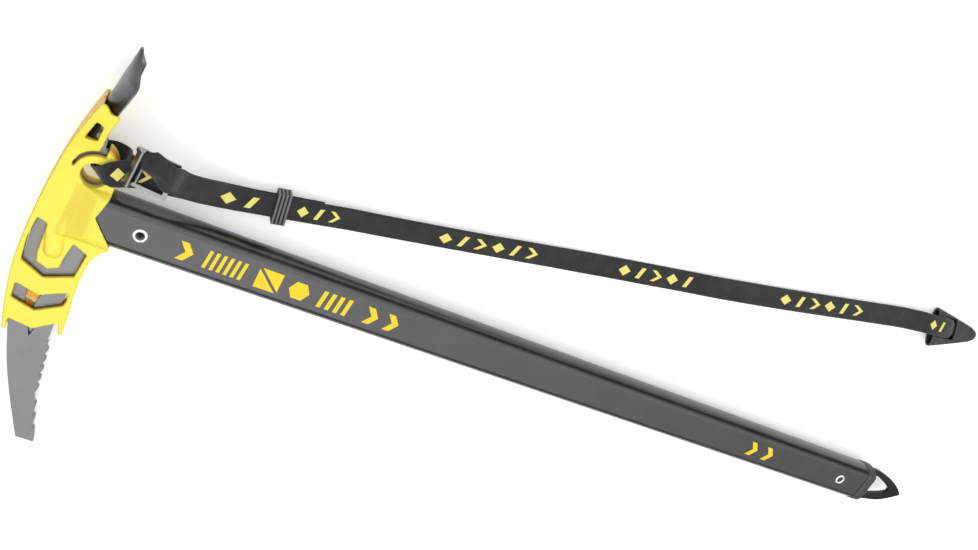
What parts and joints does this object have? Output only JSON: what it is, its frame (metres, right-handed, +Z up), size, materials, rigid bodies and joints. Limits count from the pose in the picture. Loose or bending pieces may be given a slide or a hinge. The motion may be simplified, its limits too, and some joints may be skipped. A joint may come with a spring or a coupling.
{
  "type": "ice axe",
  "caption": "Straight walking ice axe lying on its side: steel pick and gouge adze in a yellow moulded cover, oval alloy shaft with spike, and a webbing leash with buckle.",
  "frame": {"origin": "ground point under the middle of the axe's bounding box, leash left out, with the axe lying on its side", "axes": "+X along the shaft from head to spike, +Y towards the adze and the leash, +Z up from the ground it lies on"},
  "size_m": [0.6616, 0.2985, 0.0464],
  "materials": {
    "head_steel": "fine brushed grey steel",
    "adze_steel": "dark phosphated steel with a bright ground edge",
    "rivet_steel": "plain",
    "cover_yellow": "satin moulded",
    "shaft_anodised": "dark grey anodised, printed yellow chevrons",
    "insert_plastic": "moulded",
    "eyelet_metal": "bright",
    "spike_steel": "dark coated steel",
    "plug_plastic": "satin moulded",
    "webbing_black": "woven webbing with a pale yellow print",
    "buckle_metal": "bright nickel",
    "keeper_rubber": "ribbed",
    "end_rubber": "satin moulded"
  },
  "bodies": {
    "axe": {"head_plate": "head_steel", "adze_blade": "adze_steel", "adze_rivet_1": "rivet_steel", "adze_rivet_2": "rivet_steel", "cover_near": "cover_yellow", "cover_far": "cover_yellow", "shaft_tube": "shaft_anodised", "head_spacer_near": "insert_plastic", "head_spacer_far": "insert_plastic", "head_rivet": "eyelet_metal", "spike_blade": "spike_steel", "spike_plug": "plug_plastic", "spike_rivet": "eyelet_metal", "leash_strap": "webbing_black", "leash_tail": "webbing_black", "wrist_loop_return": "webbing_black", "buckle": "buckle_metal", "loop_end": "end_rubber"},
    "keeper": {"keeper": "keeper_rubber"}
  },
  "joints": [
    {"name": "keeper_slide", "type": "slide", "parent": "axe", "child": "keeper", "axis": [0.9814, 0.184, -0.0552], "range_m": [-0.003, 0.013]}
  ]
}
